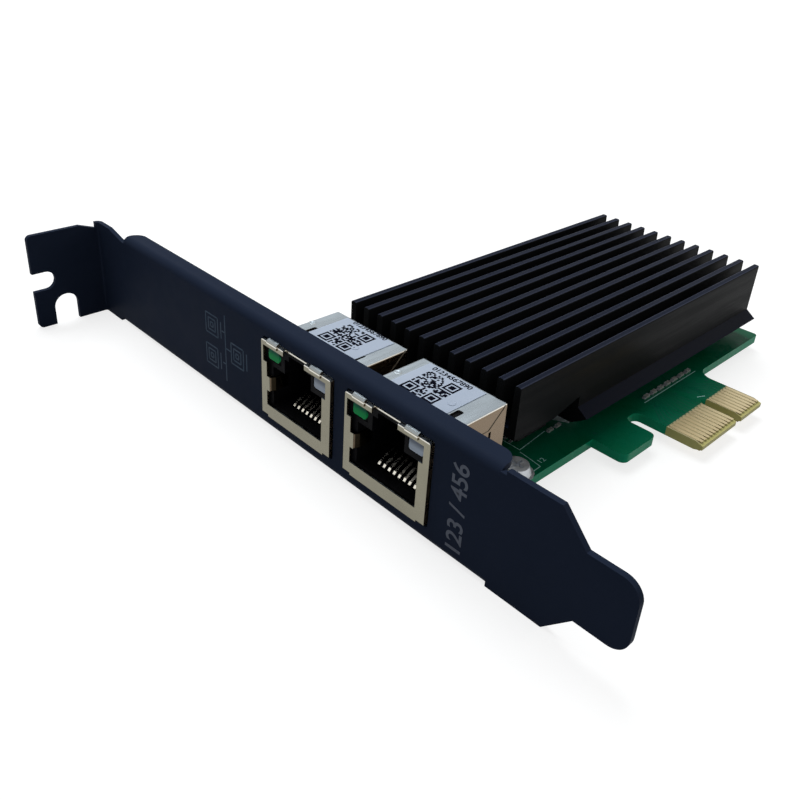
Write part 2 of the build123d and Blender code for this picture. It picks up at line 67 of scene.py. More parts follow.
# Node helpers
class Tree:
    """Short typed calls round one node tree."""

    MIX_INPUTS = (0, 6, 7)  # the factor and the two colours
    MIX_RESULT = 2

    def __init__(self, tree: bpy.types.NodeTree) -> None:
        """Keeps the tree.

        Args:
            tree: A material's or a group's node tree.
        """
        self.tree = tree

    def node(self, kind: str, **settings: object) -> bpy.types.Node:
        """Adds a node and sets its properties.

        Args:
            kind: The node's type name.
            settings: Properties of the node by name.

        Returns:
            The new node.
        """
        made = self.tree.nodes.new(kind)
        for name, value in settings.items():
            setattr(made, name, value)
        return made

    def feed(self, target: Socket, value: object) -> None:
        """Links a socket, or sets it to a plain number, vector or colour.

        Args:
            target: The input socket.
            value: Another node's output, a number, or three numbers.
        """
        if isinstance(value, Socket):
            self.tree.links.new(value, target)
        elif target.type == "RGBA":
            target.default_value = (*value, 1.0)
        else:
            target.default_value = value


    def math(self, operation: str, *values: object) -> Socket:
        """A Math node's result for one or more inputs."""
        made = self.node("ShaderNodeMath", operation=operation)
        for socket, value in zip(made.inputs, values):
            self.feed(socket, value)
        return made.outputs[0]

    def span(self, value: object, low: float, high: float, to_low: float = 0.0,
             to_high: float = 1.0) -> Socket:
        """A value mapped from one range to another with a smooth step and held at its ends.

        Args:
            value: What is mapped.
            low: Start of the first range.
            high: End of the first range.
            to_low: Result at the start.
            to_high: Result at the end.

        Returns:
            The mapped value.
        """
        made = self.node("ShaderNodeMapRange", interpolation_type="SMOOTHSTEP")
        numbers = {"Value": value, "From Min": low, "From Max": high, "To Min": to_low, "To Max": to_high}
        for name, number in numbers.items():
            self.feed(made.inputs[name], number)
        return made.outputs[0]

    def near(self, value: object, middle: float, full: float, gone: float) -> Socket:
        """One up to the distance full from a middle, falling smoothly to nothing at the distance gone."""
        return self.span(self.math("ABSOLUTE", self.math("SUBTRACT", value, middle)), full, gone, 1.0, 0.0)

    def blend(self, factor: object, first: object, second: object) -> Socket:
        """Two colours mixed by a factor."""
        made = self.node("ShaderNodeMix", data_type="RGBA", blend_type="MIX")
        for index, value in zip(self.MIX_INPUTS, (factor, first, second)):
            self.feed(made.inputs[index], value)
        return made.outputs[self.MIX_RESULT]

    def noise(self, vector: Socket, scale: object, detail: float = 2.0) -> Socket:
        """A noise texture's value."""
        made = self.node("ShaderNodeTexNoise")
        made.inputs["Detail"].default_value = detail
        self.feed(made.inputs["Vector"], vector)
        self.feed(made.inputs["Scale"], scale)
        return made.outputs["Fac"]

    def stretched(self, vector: Socket, factors: Socket) -> Socket:
        """A vector with each axis multiplied by its factor."""
        made = self.node("ShaderNodeVectorMath", operation="MULTIPLY")
        self.feed(made.inputs[0], vector)
        self.feed(made.inputs[1], factors)
        return made.outputs[0]

    def shown_background(self) -> Socket:
        """One for a ray that shows the background: from the camera, through a clear face or off a shiny one."""
        path = self.node("ShaderNodeLightPath").outputs
        seen = self.math("MAXIMUM", path["Is Camera Ray"], path["Is Glossy Ray"])
        return self.math("MAXIMUM", seen, path["Is Transmission Ray"])

    def group(self, made: bpy.types.NodeTree, **values: object) -> bpy.types.Node:
        """Places a node group with its own values; an underscore in a name stands for a blank."""
        placed = self.node("ShaderNodeGroup", node_tree=made)
        for name, value in values.items():
            self.feed(placed.inputs[name.replace("_", " ")], value)
        return placed

    def axes(self, vector: object) -> list[Socket]:
        """The x, y and z of a vector."""
        made = self.node("ShaderNodeSeparateXYZ")
        self.feed(made.inputs[0], vector)
        return list(made.outputs)

    def normal(self, axis: int) -> Socket:
        """The surface normal's part along one axis."""
        return self.axes(self.node("ShaderNodeNewGeometry").outputs["Normal"])[axis]


class Effects:
    """Node groups that several finishes share, each built once.

    A scale here is a part of the group's own scale, and a band is where a noise's mask starts and is full.
    """

    MASK_SCALE, MASK_BAND = 0.12, (0.35, 0.65)
    CLOUD_BAND = (0.32, 0.68)
    KEPT_SCALE, KEPT_BAND = 0.7, (0.5, 0.62)
    HAIR_WIDTH = 0.03

    @staticmethod
    def start(name: str, inputs: dict[str, object], outputs: dict[str, str]) -> tuple[Tree, dict, dict]:
        """Opens a new group.

        Args:
            name: The group's name.
            inputs: Input names with their defaults: a number, or three for a vector or colour.
            outputs: Output names with their socket types.

        Returns:
            The tree helper, the inputs' sockets by name and the outputs' sockets by name.
        """
        tree = bpy.data.node_groups.new(name, "ShaderNodeTree")
        for key, value in inputs.items():
            plain = isinstance(value, float)
            kind = "NodeSocketFloat" if plain else "NodeSocketColor" if "Colour" in key else "NodeSocketVector"
            socket = tree.interface.new_socket(key, in_out="INPUT", socket_type=kind)
            if plain:
                socket.default_value = value
        for key, kind in outputs.items():
            tree.interface.new_socket(key, in_out="OUTPUT", socket_type=kind)
        helper = Tree(tree)
        entry, leave = helper.node("NodeGroupInput"), helper.node("NodeGroupOutput")
        return helper, {s.name: s for s in entry.outputs}, {s.name: s for s in leave.inputs}

    @classmethod
    @cache
    def grain(cls) -> bpy.types.NodeTree:
        """Stretched fine noise: a height for bump and a slower mask for gloss."""
        t, i, o = cls.start("fine_grain", {"Vector": (0, 0, 0), "Scale": 4000.0, "Stretch": (1, 1, 1)},
                            {"Height": "NodeSocketFloat", "Mask": "NodeSocketFloat"})
        scaled = t.stretched(i["Vector"], i["Stretch"])
        slow = t.noise(scaled, t.math("MULTIPLY", i["Scale"], cls.MASK_SCALE), detail=3.0)
        t.feed(o["Height"], t.noise(scaled, i["Scale"]))
        t.feed(o["Mask"], t.span(slow, *cls.MASK_BAND))
        return t.tree

    @classmethod
    @cache
    def drift(cls) -> bpy.types.NodeTree:
        """Two colours that drift slowly into each other."""
        t, i, o = cls.start("colour_drift", {"Vector": (0, 0, 0), "Scale": 90.0, "Colour": (0, 0, 0),
                                             "Second Colour": (0, 0, 0)}, {"Colour": "NodeSocketColor"})
        cloud = t.noise(i["Vector"], i["Scale"], detail=4.0)
        t.feed(o["Colour"], t.blend(t.span(cloud, *cls.CLOUD_BAND), i["Colour"], i["Second Colour"]))
        return t.tree

    @classmethod
    @cache
    def scratches(cls) -> bpy.types.NodeTree:
        """Broken thin lines: cell borders of stretched cells, kept where a slow noise is high."""
        t, i, o = cls.start("hair_scratches", {"Vector": (0, 0, 0), "Scale": 300.0, "Stretch": (1, 1, 1)},
                            {"Mask": "NodeSocketFloat"})
        cells = t.node("ShaderNodeTexVoronoi", feature="DISTANCE_TO_EDGE")
        t.feed(cells.inputs["Vector"], t.stretched(i["Vector"], i["Stretch"]))
        t.feed(cells.inputs["Scale"], i["Scale"])
        line = t.span(cells.outputs["Distance"], 0.0, cls.HAIR_WIDTH, 1.0, 0.0)
        keep = t.noise(i["Vector"], t.math("MULTIPLY", i["Scale"], cls.KEPT_SCALE))
        t.feed(o["Mask"], t.math("MULTIPLY", line, t.span(keep, *cls.KEPT_BAND)))
        return t.tree


# Finishes
BUMP_DISTANCE = 0.00004  # metres that the grain rises
HAIR_TONE = (1.5, 0.04)  # a scratch's colour: the base colour times the first, plus the second
HAIR_ROUGHNESS = 0.6  # what a full scratch adds to the roughness
HAIR_DEPTH = 0.8  # what a full scratch takes from the grain's height
FACING = (0.5, 0.95)  # the normal's part along an axis where a face begins to look that way, and where it does


@dataclass(frozen=True)
class Finish:
    """A surface of two drifting colours, with grain, fine scratches and a gloss that varies.

    Scales are cells in a metre, gloss is the roughness at its least and most, and slot, the slot of the finish
    that a print lies on, is not used.
    """

    name: str
    base: Colour
    drift: Colour
    metallic: float = 0.0
    gloss: Pair = (0.35, 0.5)
    grain: float = 4000.0
    depth: float = 0.3
    stretch: Triple = (1.0, 1.0, 1.0)
    drift_scale: float = 90.0
    scratch_scale: float = 260.0
    scratch_stretch: Triple = (1.0, 6.0, 1.0)
    scratch: float = 0.1
    specular: float = 0.5
    ior: float = 1.5
    slot: str = ""

    def paint(self, tree: Tree, vector: Socket, colour: Socket) -> Socket:
        """Changes the drifting colour where the finish has a pattern of its own.

        Args:
            tree: The material's tree helper.
            vector: Object coordinates.
            colour: The drifting colour.

        Returns:
            The colour to use.
        """
        return colour

    def relief(self, tree: Tree, vector: Socket, height: Socket) -> Socket:
        """Adds the finish's own forms to the grain's height; returns the height to use."""
        return height

    def build(self) -> bpy.types.Material:
        """Makes the material from the shared effects; returns it, or the one already made."""
        label = f"{self.name}_finish"
        if label in bpy.data.materials:
            return bpy.data.materials[label]
        material = bpy.data.materials.new(label)
        material.use_nodes = True
        material.diffuse_color = (*self.base, 1.0)
        tree = Tree(material.node_tree)
        shader = material.node_tree.nodes["Principled BSDF"]
        vector = tree.node("ShaderNodeTexCoord").outputs["Object"]
        grain = tree.group(Effects.grain(), Vector=vector, Scale=self.grain, Stretch=self.stretch)
        drift = tree.group(Effects.drift(), Vector=vector, Scale=self.drift_scale, Colour=self.base,
                           Second_Colour=self.drift)
        marks = tree.group(Effects.scratches(), Vector=vector, Scale=self.scratch_scale,
                           Stretch=self.scratch_stretch)
        hair = tree.math("MULTIPLY", marks.outputs["Mask"], self.scratch)
        colour = self.paint(tree, vector, drift.outputs["Colour"])
        lighter = tuple(min(1.0, HAIR_TONE[0] * part + HAIR_TONE[1]) for part in self.base)
        tree.feed(shader.inputs["Base Color"], tree.blend(hair, colour, lighter))
        gloss = tree.span(grain.outputs["Mask"], 0.0, 1.0, *self.gloss)
        duller = tree.math("MULTIPLY", hair, HAIR_ROUGHNESS)
        tree.feed(shader.inputs["Roughness"], tree.math("ADD", gloss, duller))
        bump = tree.node("ShaderNodeBump")
        bump.inputs["Strength"].default_value = self.depth
        bump.inputs["Distance"].default_value = BUMP_DISTANCE
        height = self.relief(tree, vector, grain.outputs["Height"])
        tree.feed(bump.inputs["Height"], tree.math("SUBTRACT", height, tree.math("MULTIPLY", hair, HAIR_DEPTH)))
        tree.feed(shader.inputs["Normal"], bump.outputs["Normal"])
        shader.inputs["Metallic"].default_value = self.metallic
        shader.inputs["Specular IOR Level"].default_value = self.specular
        shader.inputs["IOR"].default_value = self.ior
        return material


@dataclass(frozen=True)
class BoardFinish(Finish):
    """Solder mask over a faint weave, with paler sawn sides; the finger tongue has no mask and shows laminate.

    The tongue is the x and y where the mask ends, in datum millimetres; blend_y is metres from the finger edge.
    """

    edge: Colour = (0.01, 0.33, 0.17)
    bare: Colour = (0.46, 0.4, 0.23)
    tip: Colour = (0.58, 0.54, 0.21)
    tongue: Pair = (46.6, 22.0)
    blend_y: Pair = (0.0002, 0.0012)
    soft: float = 0.0001
    flat: Pair = (0.55, 0.9)
    weave: float = 15700.0
    weave_rise: float = 0.12

    def paint(self, tree: Tree, vector: Socket, colour: Socket) -> Socket:
        """The edge tone where the face looks sideways, and laminate past the mask's end, yellower at the tip."""
        x, y, _ = tree.axes(vector)
        near_x, near_y = (metres(value, axis) for axis, value in enumerate(self.tongue))
        flat = tree.span(tree.math("ABSOLUTE", tree.normal(Z)), *self.flat)
        masked = tree.blend(flat, self.edge, colour)
        laminate = tree.blend(tree.math("MULTIPLY", flat, tree.span(y, *self.blend_y)), self.tip, self.bare)
        below = tree.span(y, near_y, near_y - self.soft)
        beside = tree.span(x, near_x - 3 * self.soft, near_x - 2 * self.soft)
        return tree.blend(tree.math("MULTIPLY", below, beside), masked, laminate)

    def relief(self, tree: Tree, vector: Socket, height: Socket) -> Socket:
        """A weave of two crossed sine waves, 0.4 mm apart, under the mask."""
        x, y, _ = tree.axes(vector)
        wave = [tree.math("SINE", tree.math("MULTIPLY", side, self.weave)) for side in (x, y)]
        return tree.math("ADD", height, tree.math("MULTIPLY", tree.math("MULTIPLY", *wave), self.weave_rise))


@dataclass(frozen=True)
class LensFinish(Finish):
    """A round window in a dark block, with a painted glow that makes its lower half the brighter one."""

    # painted glow colour at the bottom of each window
    low: Colour = (1.0, 1.0, 1.0)
    block: Colour = (0.004, 0.0045, 0.005)
    middles: tuple[float, ...] = ()
    height: float = 13.95
    gloss: Pair = (0.12, 0.2)
    grain: float = 2200.0
    depth: float = 0.1
    scratch: float = 0.0
    reach: Pair = (1.55, 1.25)
    rim: Pair = (0.85, 1.05)
    glow_fade: Pair = (0.55, -0.25)

    def paint(self, tree: Tree, vector: Socket, colour: Socket) -> Socket:
        """Inside the ellipse (y/a)^2 + (z/b)^2 < 1 round each middle the colour brightens downwards to a painted
        glow.

        Outside it the block's colour shows.
        """
        _, y, z = tree.axes(vector)
        a, b = (side / IN_METRE for side in self.reach)
        up = tree.math("DIVIDE", tree.math("SUBTRACT", z, metres(self.height, Z)), b)
        inside = None
        for middle in self.middles:
            off = tree.math("DIVIDE", tree.math("SUBTRACT", y, metres(middle, Y)), a)
            far = tree.math("ADD", tree.math("MULTIPLY", off, off), tree.math("MULTIPLY", up, up))
            disc = tree.span(far, *self.rim, 1.0, 0.0)
            inside = disc if inside is None else tree.math("MAXIMUM", inside, disc)
        window = tree.blend(tree.span(up, *self.glow_fade), colour, self.low)
        return tree.blend(inside, self.block, window)


@dataclass(frozen=True)
class LitTopFinish(Finish):
    """A finish with a painted lit tone on the faces that look up, standing for the light and sky reflection they
    catch.
    """

    # painted light: the tone the upward faces take where they catch the top light and the sky's reflection
    lit_top_tone: Colour = (1.0, 1.0, 1.0)

    def paint(self, tree: Tree, vector: Socket, colour: Socket) -> Socket:
        """Blends to the painted lit top tone as the normal turns to z."""
        return tree.blend(tree.span(tree.normal(Z), *FACING), colour, self.lit_top_tone)


@dataclass(frozen=True)
class FinFinish(LitTopFinish):
    """Black fins with a painted highlight, paler and bluish, along both edges of each top."""

    # painted highlight colour along the edges of the fin tops
    edge_highlight: Colour = (0.048, 0.055, 0.086)
    first: float = 30.75
    pitch: float = 3.109
    top: float = 17.6
    beside: Pair = (0.00025, 0.00045)
    below: Pair = (0.00015, 0.00005)

    def paint(self, tree: Tree, vector: Socket, colour: Socket) -> Socket:
        """A painted highlight from 0.25 to 0.45 mm beside the nearest fin's middle, whose distance is a triangle
        wave in y.
        """
        colour = super().paint(tree, vector, colour)
        _, y, z = tree.axes(vector)
        off = tree.math("PINGPONG", tree.math("SUBTRACT", y, metres(self.first, Y)), self.pitch / 2 / IN_METRE)
        high = tree.span(z, *(metres(self.top, Z) - gap for gap in self.below))
        return tree.blend(tree.math("MULTIPLY", tree.span(off, *self.beside), high), colour, self.edge_highlight)


@dataclass(frozen=True)
class ShieldFinish(LitTopFinish):
    """Bright sheet with painted light: a cooler painted reflection on top, painted warm shade at the sides, a
    painted highlight along the top fold and painted shade in a dark brass tone on the springs at its side.

    Plain places are datum millimetres; the pairs say in metres where a mask starts and ends.
    """

    # painted warm shade on the faces that look along y
    shaded_flank: Colour = (0.205, 0.152, 0.102)
    # painted highlight along the top fold of the walls
    fold_highlight: Colour = (0.72, 0.7, 0.64)
    fold_z: float = 16.1
    springs: tuple[float, ...] = (64.1, 44.67)
    # painted shade, in a dark brass tone, on the springs behind the front
    spring_shade: Colour = (0.016, 0.012, 0.007)
    fold_low: Pair = (0.00025, 0.0001)
    fold_high: float = 0.00004
    spring_z: float = 8.75
    spring_rise: Pair = (0.0013, 0.0014)
    spring_half: Pair = (0.0006, 0.0007)
    spring_x: Pair = (-0.0595, -0.0592)

    def paint(self, tree: Tree, vector: Socket, colour: Socket) -> Socket:
        """Painted warm shade where the normal lies along y, a painted highlight in the top 0.2 mm of the walls,
        and painted dark brass shade on the springs.

        The painted top tone goes on before and after the fold's painted highlight, which would show on the upper
        faces otherwise.
        """
        facing = tree.span(tree.math("ABSOLUTE", tree.normal(Y)), *FACING)
        colour = super().paint(tree, vector, tree.blend(facing, colour, self.shaded_flank))
        x, y, z = tree.axes(vector)
        edge = metres(self.fold_z, Z)
        rising = tree.span(z, *(edge - gap for gap in self.fold_low))
        highlight_mask = tree.math("MULTIPLY", rising, tree.span(z, edge, edge + self.fold_high, 1.0, 0.0))
        colour = super().paint(tree, vector, tree.blend(highlight_mask, colour, self.fold_highlight))
        band = tree.near(z, metres(self.spring_z, Z), *self.spring_rise)
        behind = tree.math("MULTIPLY", band, tree.span(x, *self.spring_x))
        sides = [tree.near(y, metres(place, Y), *self.spring_half) for place in self.springs]
        return tree.blend(tree.math("MULTIPLY", behind, tree.math("MAXIMUM", *sides)), colour, self.spring_shade)


@dataclass(frozen=True)
class GradedFinish(Finish):
    """A finish that changes to a painted shade tone along one axis between two datum places."""

    axis: int = Z
    start: float = 0.0
    end: float = 1.0
    # painted shade tone, where the part lies deeper in shade
    shade_tone: Colour = (1.0, 1.0, 1.0)

    def paint(self, tree: Tree, vector: Socket, colour: Socket) -> Socket:
        """Mixes in the painted shade tone from start to end, in datum millimetres."""
        place = tree.axes(vector)[self.axis]
        mask = tree.span(place, metres(self.start, self.axis), metres(self.end, self.axis))
        return tree.blend(mask, colour, self.shade_tone)


class Look(Enum):
    """Every finish on the card."""

    BRACKET = Finish("bracket_paint", (0.0172, 0.0252, 0.0472), (0.0187, 0.0268, 0.0502), gloss=(0.38, 0.46),
                     grain=3200.0, depth=0.14, scratch=0.03, ior=1.05)
    STEEL = Finish("screw_steel", (0.68, 0.71, 0.75), (0.57, 0.6, 0.64), metallic=0.6, gloss=(0.36, 0.5),
                   grain=9000.0, depth=0.2, scratch=0.2)
    BOARD = BoardFinish("board_mask", (0.0002, 0.104, 0.044), (0.0006, 0.125, 0.062), gloss=(0.26, 0.36),
                        grain=2500.0, depth=0.2, ior=1.12, scratch=0.04)
    GOLD = Finish("finger_gold", (0.58, 0.48, 0.28), (0.5, 0.4, 0.22), metallic=0.85, gloss=(0.24, 0.34),
                  grain=9000.0, stretch=(1.0, 0.08, 1.0), depth=0.2, scratch=0.12)
    # The heat sink's tops get a painted bluish lit tone and a painted highlight along the fin edges.
    SINK = FinFinish("sink_black", (0.0096, 0.0105, 0.0115), (0.0082, 0.009, 0.01), gloss=(0.3, 0.42),
                     grain=5200.0, lit_top_tone=(0.0075, 0.0112, 0.0245), stretch=(0.05, 1.0, 1.0), depth=0.4,
                     scratch_stretch=(0.4, 8.0, 8.0), scratch=0.04, ior=1.07)
    # The shield gets a painted cool reflection on its tops; its class adds painted shade and a painted
    # highlight.
    SHIELD = ShieldFinish("shield_nickel", (0.235, 0.222, 0.168), (0.21, 0.198, 0.15), metallic=1.0,
                          gloss=(0.26, 0.34), grain=6500.0, stretch=(0.12, 1.0, 1.0), depth=0.04,
                          scratch=0.06, lit_top_tone=(0.28, 0.32, 0.35))
    HOUSING = Finish("housing_black", (0.0035, 0.0035, 0.0045), (0.0045, 0.0045, 0.0055), gloss=(0.42, 0.56),
                     grain=3000.0, ior=1.1)
    # The contacts fade back into a painted shade tone from 2.9 to 5.2 mm behind the front.
    CONTACT = GradedFinish("contact_gold", (0.8, 0.77, 0.68), (0.7, 0.66, 0.56), metallic=1.0,
                           gloss=(0.2, 0.3), grain=9000.0, depth=0.02, axis=X, start=2.9, end=5.2,
                           shade_tone=(0.016, 0.014, 0.01))
    # Each lens's low colour is a painted glow in the lower half of its window.
    GREEN_LENS = LensFinish("lens_green", (0.004, 0.12, 0.07), (0.006, 0.14, 0.08), ior=1.1,
                            low=(0.012, 0.4, 0.11), middles=(63.55, 44.12))
    CLEAR_LENS = LensFinish("lens_clear", (0.1, 0.14, 0.2), (0.13, 0.17, 0.24), ior=1.35,
                            low=(0.45, 0.54, 0.66), middles=(52.65, 33.22))
    PAPER = Finish("label_paper", (0.47, 0.54, 0.66), (0.43, 0.5, 0.62), gloss=(0.38, 0.5), grain=5000.0,
                   depth=0.12, scratch=0.0, ior=1.3)
    CHIP = Finish("chip_black", (0.011, 0.011, 0.013), (0.014, 0.014, 0.016), gloss=(0.48, 0.62),
                  grain=4500.0, depth=0.4, specular=0.3)
    PAD = Finish("pad_grey", (0.2, 0.22, 0.25), (0.25, 0.27, 0.3), gloss=(0.7, 0.85), grain=3000.0, depth=0.5)
    CERAMIC = Finish("capacitor_tan", (0.3, 0.31, 0.29), (0.35, 0.36, 0.33), gloss=(0.3, 0.42), grain=6000.0,
                     depth=0.2, specular=0.3)
    CAN = Finish("can_steel", (0.55, 0.55, 0.53), (0.48, 0.48, 0.46), metallic=1.0, gloss=(0.22, 0.32),
                 grain=7000.0, stretch=(0.1, 1.0, 1.0), depth=0.25)
    SOLDER = Finish("solder_tin", (0.62, 0.64, 0.67), (0.52, 0.53, 0.56), metallic=0.45, gloss=(0.18, 0.34),
                    grain=3500.0, depth=0.35)
    PRINT_GREY = Finish("bracket_print", (0.052, 0.085, 0.13), (0.045, 0.074, 0.115), gloss=(0.5, 0.62),
                        depth=0.2, ior=1.16, slot="bracket_paint")
    PRINT_WORD = Finish("bracket_figures", (0.15, 0.17, 0.215), (0.125, 0.14, 0.18), gloss=(0.5, 0.62),
                        depth=0.2, ior=1.16, slot="bracket_paint")
    PRINT_DARK = Finish("label_print", (0.002, 0.003, 0.009), (0.003, 0.004, 0.011), gloss=(0.42, 0.5),
                        grain=5000.0, depth=0.1, scratch=0.0, ior=1.05, slot="label_paper")
    SILK = Finish("board_legend", (0.42, 0.72, 0.66), (0.36, 0.63, 0.59), gloss=(0.5, 0.62), grain=5000.0,
                  depth=0.2, ior=1.2, slot="board_mask")
    TRACE = Finish("board_trace", (0.002, 0.085, 0.048), (0.003, 0.1, 0.06), gloss=(0.26, 0.36), grain=2500.0,
                   depth=0.2, ior=1.2, slot="board_mask")


NODE_LOOKS: dict[str, Look] = {
    "bracket": Look.BRACKET, "bracket_screws": Look.STEEL, "circuit_board": Look.BOARD,
    "finger_pads_top": Look.GOLD, "finger_pads_back": Look.GOLD, "heat_sink": Look.SINK,
    "heat_sink_spacers": Look.STEEL, "heat_sink_screws": Look.STEEL, "thermal_pad": Look.PAD,
    "controller_chip": Look.CHIP, "line_transformers": Look.CHIP, "transformer_leads": Look.SOLDER,
    "chip_capacitors": Look.CERAMIC, "flash_chip": Look.CHIP, "crystal_can": Look.CAN,
    "power_inductors": Look.CHIP, "regulator_chips": Look.CHIP, "solder_joints": Look.SOLDER,
}
JACK_LOOKS: dict[str, Look] = {
    "shield": Look.SHIELD, "housing": Look.HOUSING, "contacts": Look.CONTACT, "green_lens": Look.GREEN_LENS,
    "clear_lens": Look.CLEAR_LENS, "label": Look.PAPER,
}


# Surfaces
@dataclass(frozen=True)
class Sheet:
    """A flat face for marks and small parts: origin, two directions and outward normal, in datum millimetres."""

    origin: Triple
    along: Triple
    across: Triple
    out: Triple

    @property
    def directions(self) -> np.ndarray:
        """Along, across and out as rows."""
        return np.array([self.along, self.across, self.out], float)

    @property
    def flipped(self) -> bool:
        """True where along, across and out are left-handed."""
        return bool(np.linalg.det(self.directions) < 0)

    def place(self, u: object, v: object, h: object) -> np.ndarray:
        """Row-frame metres of points u along, v across and h outwards.

        Args:
            u: Distances along the first direction.
            v: Distances along the second direction.
            h: Heights above the face.

        Returns:
            An array with one more axis, of three.
        """
        local = np.stack(np.broadcast_arrays(np.asarray(u, float), v, h), -1)
        return (np.asarray(self.origin) + local @ self.directions - DATUM) / IN_METRE


class Face(Enum):
    """The card's flat faces."""

    BOARD_TOP = Sheet((0, 0, 3.1), (1, 0, 0), (0, 1, 0), (0, 0, 1))
    BOARD_BACK = Sheet((0, 0, 1.53), (1, 0, 0), (0, 1, 0), (0, 0, -1))
    BRACKET_FRONT = Sheet((0, 0, 0), (0, 0, 1), (0, 1, 0), (-1, 0, 0))
    LABEL = Sheet((0, 0, 16.18), (0, -1, 0), (1, 0, 0), (0, 0, 1))
    SHIELD_TOP = Sheet((0, 0, 16.1), (0, -1, 0), (1, 0, 0), (0, 0, 1))


def bars(sheet: Sheet, starts: object, ends: object, width: float, height: float,
         tail: float | None = None) -> Shape:
    """Closed flat bars, one for each segment.

    Every corner is an end point of the segment moved half a width square to it, at the underside or the top.

    Args:
        sheet: The face that they lie on.
        starts: First end of each segment, along and across.
        ends: Second end of each segment.
        width: Their width.
        height: Thickness, at the first end.
        tail: Thickness at the second end, where it isn't the same.

    Returns:
        Points and faces.
    """
    a, b = np.atleast_2d(np.asarray(starts, float)), np.atleast_2d(np.asarray(ends, float))
    way = (b - a) / np.linalg.norm(b - a, axis=1, keepdims=True)
    side = np.stack([-way[:, 1], way[:, 0]], 1) * width / 2
    ring = np.stack([a - side, b - side, b + side, a + side], 1)
    far = height if tail is None else tail
    rise = np.array([height, far, far, height])
    points = np.concatenate([sheet.place(ring[..., 0], ring[..., 1], h) for h in (0.0, rise)], 1)
    box = np.array([[3, 2, 1, 0], [4, 5, 6, 7], [0, 1, 5, 4], [1, 2, 6, 5], [2, 3, 7, 6], [3, 0, 4, 7]])
    box = box[:, ::-1] if sheet.flipped else box
    return points.reshape(-1, 3), (box[None] + 8 * np.arange(len(a))[:, None, None]).reshape(-1, 4).tolist()


def turned(sheet: Sheet, centres: object, profile: object, sides: int) -> Shape:
    """Closed turned forms: radius and height of the profile swept by an angle round each centre.

    Point (i, j) is the centre plus radius i in the direction of angle j, at height i. A ring of no radius is one
    point.

    Args:
        sheet: The face that they stand on.
        centres: Along and across of each centre.
        profile: Radius and height of each ring; it runs from the underside round to the underside again.
        sides: Steps round.

    Returns:
        Points and faces.
    """
    c, p = np.atleast_2d(np.asarray(centres, float)), np.asarray(profile, float)
    sizes = np.where(p[:, 0] > 0, sides, 1)
    first = np.concatenate([[0], np.cumsum(sizes)])
    ring = np.repeat(np.arange(len(p)), sizes)
    angle = 2 * np.pi * (np.arange(first[-1]) - first[ring]) / sides
    u = c[:, :1] + p[ring, 0] * np.cos(angle)
    v = c[:, 1:] + p[ring, 0] * np.sin(angle)
    points = sheet.place(u, v, np.broadcast_to(p[ring, 1], u.shape)).reshape(-1, 3)
    turn = np.arange(sides)
    faces = []
    for low, high in enumerate(np.roll(np.arange(len(p)), -1)):
        here, there = sizes[low], sizes[high]
        if here == there == 1:
            continue
        quads = np.stack([first[low] + turn % here, first[high] + turn % there,
                          first[high] + (turn + 1) % there, first[low] + (turn + 1) % here], 1)
        kept = [0, 1, 2] if here == 1 else [0, 1, 3] if there == 1 else [0, 1, 2, 3]
        faces.append(quads[:, kept[::-1] if sheet.flipped else kept])
    shifted = [some + first[-1] * number for number in range(len(c)) for some in faces]
    return points, [face for some in shifted for face in some.tolist()]


FIGURE_HEIGHT = 0.72  # of a figure, in the font's own units
FIGURE_RISE = 0.01  # half the thickness of a figure


def figures(sheet: Sheet, words: str, start: Pair, size: float, length: float, bold: float = 0.0) -> Shape:
    """Plain figures as thin closed solids on a face.

    Args:
        sheet: The face, which they run along.
        words: The figures.
        start: Where the first one's lower corner is.
        size: Height of a figure, in millimetres.
        length: Length of the whole row, in millimetres.
        bold: Growth of the outlines, in parts of the size.

    Returns:
        Points and faces.
    """
    curve = bpy.data.curves.new("figures", "FONT")
    curve.body, curve.size, curve.offset, curve.extrude = words, 1.0, bold, FIGURE_RISE
    carrier = bpy.data.objects.new("figures", curve)
    bpy.context.scene.collection.objects.link(carrier)
    made = bpy.data.meshes.new_from_object(carrier.evaluated_get(bpy.context.evaluated_depsgraph_get()))
    flat = np.empty(len(made.vertices) * 3)
    made.vertices.foreach_get("co", flat)
    flat = flat.reshape(-1, 3)
    faces = [list(p.vertices) for p in made.polygons]
    bpy.data.objects.remove(carrier)
    bpy.data.curves.remove(curve)
    bpy.data.meshes.remove(made)
    along = (flat[:, 0] - flat[:, 0].min()) * length / np.ptp(flat[:, 0])
    up = flat[:, 1] * size / FIGURE_HEIGHT
    return sheet.place(start[0] + along, start[1] + up, FIGURE_RISE + flat[:, 2]), faces


def piece(name: str, shapes: list[Shape], look: Look, smooth: bool = False) -> bpy.types.Object:
    """Joins shapes into one object of the card, finished and riding on its body.

    Args:
        name: The piece's name.
        shapes: Points and faces of each shape.
        look: Its finish, whose material the piece gets; a print has one of its own.
        smooth: True for turned and moulded forms.

    Returns:
        The new object.
    """
    starts = np.cumsum([0] + [len(points) for points, _ in shapes])
    faces = [[int(k) + int(start) for k in face] for start, (_, some) in zip(starts, shapes) for face in some]
    mesh = bpy.data.meshes.new(name)
    mesh.from_pydata(np.concatenate([points for points, _ in shapes]).tolist(), [], faces)
    mesh.update()
    mesh.polygons.foreach_set("use_smooth", [smooth] * len(mesh.polygons))
    mesh.materials.append(look.value.build())
    made = bpy.data.objects.new(name, mesh)
    bpy.context.scene.collection.objects.link(made)
    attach(made, "root")
    LOG.info("%s: %d faces", name, len(faces))
    return made


# Sub-assemblies
class Marks(Protocol):
    """Anything that adds pieces of its own to the card."""

    def build(self) -> None:
        """Makes the pieces."""


